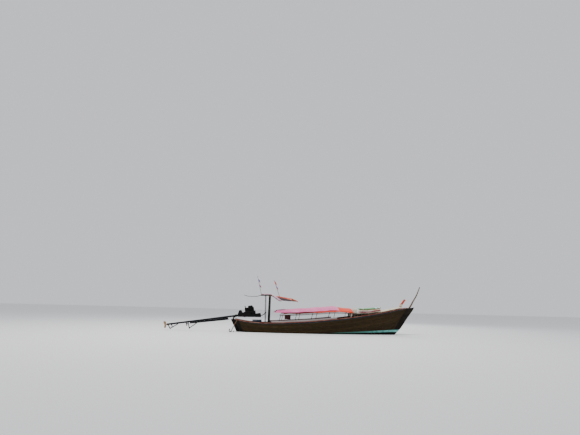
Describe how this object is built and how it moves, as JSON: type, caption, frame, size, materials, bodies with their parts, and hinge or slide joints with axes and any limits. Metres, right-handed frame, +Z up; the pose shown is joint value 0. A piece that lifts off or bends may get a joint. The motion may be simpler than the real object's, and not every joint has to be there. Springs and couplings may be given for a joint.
{
  "type": "longtail boat",
  "caption": "Open planked wooden boat with a raked stem and prow pole, arched cloth canopy, helm roof, and a swivelling engine that drives a propeller on a long lifting tail shaft.",
  "frame": {"origin": "on the centre plane, at the waterline, half way along the hull", "axes": "+X points to the bow, +Y to port, +Z up"},
  "size_m": [13.8104, 1.97, 3.3872],
  "materials": {
    "varnished_plank": "satin",
    "dark_timber": "satin",
    "red_paint": "satin",
    "pale_paint": "matte",
    "bare_timber": "matte",
    "cream_plank": "matte",
    "mat_fabric": "matte",
    "cream_plastic": "satin",
    "orange_paint": "satin",
    "pole_wood": "matte",
    "orange_cloth": "matte",
    "pink_cloth": "matte",
    "black_timber": "matte",
    "grey_timber": "matte",
    "flag_cloth": "matte",
    "black_plastic": "satin",
    "maroon_paint": "satin",
    "dark_steel": "satin",
    "engine_alloy": "satin",
    "bronze": "satin",
    "tan_rope": "matte"
  },
  "bodies": {
    "hull": {"hull_shell": "varnished_plank", "transom": "varnished_plank", "keel": "dark_timber", "stem": "dark_timber", "sternpost": "dark_timber", "gunwale_port": "red_paint", "gunwale_starboard": "red_paint", "washboard_port": "pale_paint", "washboard_starboard": "pale_paint", "frames": "bare_timber", "floorboards": "bare_timber", "thwart_1": "bare_timber", "thwart_2": "bare_timber", "thwart_3": "bare_timber", "thwart_4": "bare_timber", "thwart_5": "bare_timber", "aft_deck": "bare_timber", "foredeck": "cream_plank", "deck_mats": "mat_fabric", "canister": "cream_plastic", "prow_pole": "dark_timber", "bow_horn": "orange_paint", "canopy_hoop_1": "pole_wood", "canopy_hoop_2": "pole_wood", "canopy_hoop_3": "pole_wood", "canopy_hoop_4": "pole_wood", "canopy_hoop_5": "pole_wood", "canopy_rail_port": "pole_wood", "canopy_rail_starboard": "pole_wood", "orange_sheet": "orange_cloth", "pink_sheet": "pink_cloth", "helm_post_port": "black_timber", "helm_post_starboard": "black_timber", "roof_beam_port": "black_timber", "roof_beam_starboard": "black_timber", "roof_crossframe": "grey_timber", "roof_cloth": "pink_cloth", "flagpole_1": "pole_wood", "flagpole_2": "pole_wood", "flag_1": "flag_cloth", "flag_2": "flag_cloth", "fuel_tank": "black_plastic", "side_panel": "maroon_paint", "pivot_socket": "dark_steel", "stern_rope": "tan_rope", "grapnel": "dark_steel"},
    "swivel": {"swivel_fork": "dark_steel"},
    "tail": {"trunnion": "dark_steel", "engine_bed": "dark_steel", "engine_block": "engine_alloy", "bell_housing": "engine_alloy", "air_cleaner": "black_plastic", "tiller": "dark_steel", "tail_tube": "dark_steel", "tail_brace": "dark_steel", "skeg_aft": "dark_steel", "skeg_fore": "dark_steel"},
    "propeller": {"propeller": "bronze"}
  },
  "joints": [
    {"name": "steering", "type": "hinge", "parent": "hull", "child": "swivel", "pos_m": [-4.865, 0, 0.66], "axis": [0, 0, 1], "range_deg": [-45, 45]},
    {"name": "tail_tilt", "type": "hinge", "parent": "swivel", "child": "tail", "pos_m": [-4.72, 0, 0.815], "axis": [0, 1, 0], "range_deg": [-14, 3]},
    {"name": "propeller_spin", "type": "hinge", "parent": "tail", "child": "propeller", "pos_m": [-8.3605, 0, 0.2774], "axis": [0.9893, 0, 0.1461], "continuous": true}
  ]
}
